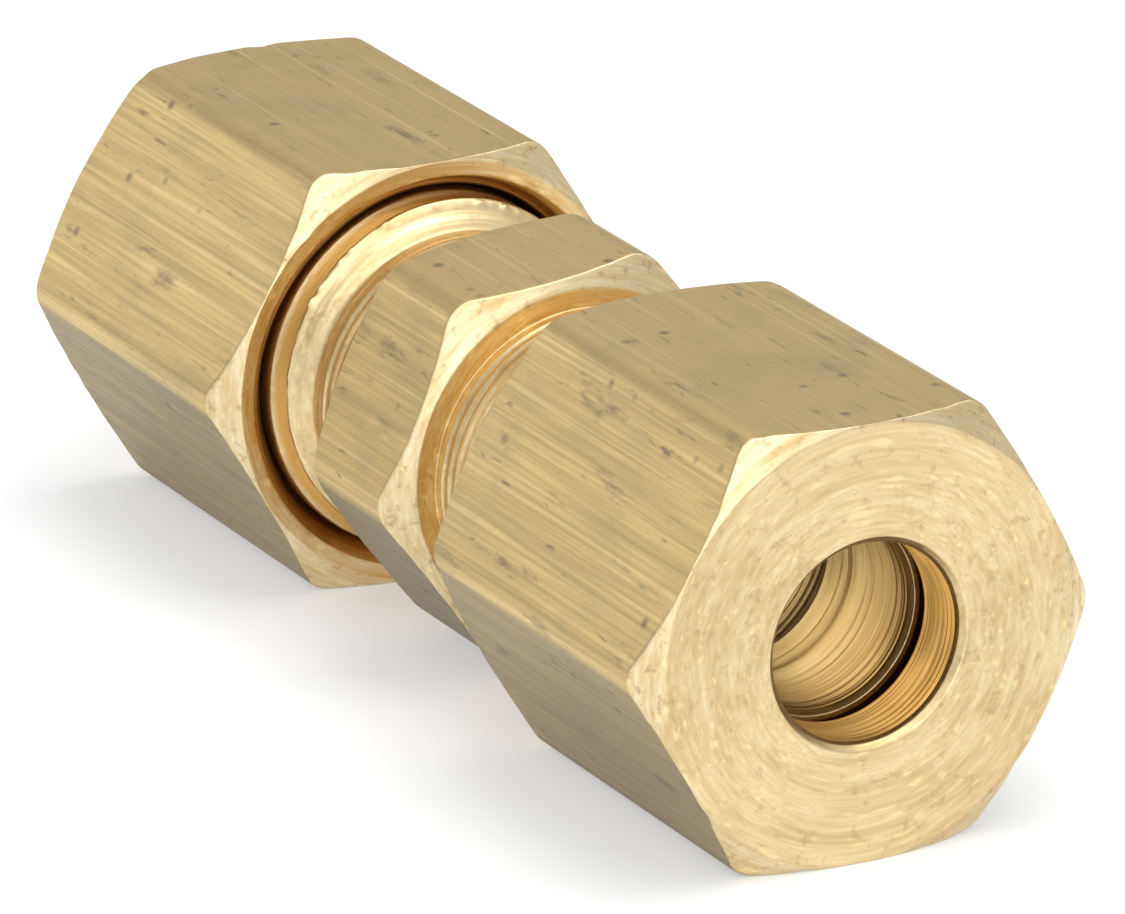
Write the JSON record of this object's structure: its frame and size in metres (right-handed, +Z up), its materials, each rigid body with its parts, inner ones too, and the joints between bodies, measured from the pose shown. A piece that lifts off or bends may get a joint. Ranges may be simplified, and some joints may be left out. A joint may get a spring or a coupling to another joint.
{
  "type": "compression fitting",
  "caption": "Straight brass compression union for small tube: hexagon body with threaded ends, a hexagon nut and a sleeve on each end.",
  "frame": {"origin": "middle of the union body's through bore, on the tube axis", "axes": "+X along the tube axis towards the nut that is screwed on less far, +Z up, square to the flats that the nuts rest on"},
  "size_m": [0.0407, 0.0158, 0.014],
  "materials": {
    "body_brass": "drawn hexagon flats, turned ends and cut threads, bare brass",
    "nut_brass": "drawn hexagon flats with fine lengthwise lines and small stains, turned faces, bare brass",
    "sleeve_brass": "turned bare brass"
  },
  "bodies": {
    "body": {"union_body": "body_brass"},
    "right_sleeve_body": {"right_sleeve": "sleeve_brass"},
    "right_nut_body": {"right_nut": "nut_brass"},
    "left_sleeve_body": {"left_sleeve": "sleeve_brass"},
    "left_nut_body": {"left_nut": "nut_brass"}
  },
  "joints": [
    {"name": "right_sleeve_slide", "type": "slide", "parent": "body", "child": "right_sleeve_body", "axis": [1, 0, 0], "range_m": [-0.00248, 0.00485]},
    {"name": "right_nut_screw", "type": "hinge", "parent": "right_sleeve_body", "child": "right_nut_body", "pos_m": [0.0141, 0, 0], "axis": [1, 0, 0], "range_deg": [-590, 1160]},
    {"name": "left_sleeve_slide", "type": "slide", "parent": "body", "child": "left_sleeve_body", "axis": [-1, 0, 0], "range_m": [-0.0016, 0.00573]},
    {"name": "left_nut_screw", "type": "hinge", "parent": "left_sleeve_body", "child": "left_nut_body", "pos_m": [-0.0132, 0, 0], "axis": [-1, 0, 0], "range_deg": [-380, 1370]}
  ],
  "couplings": [
    {"joint": "right_sleeve_slide", "follows": "right_nut_screw", "m_per_rad": 0.00023873},
    {"joint": "left_sleeve_slide", "follows": "left_nut_screw", "m_per_rad": 0.00023873}
  ]
}
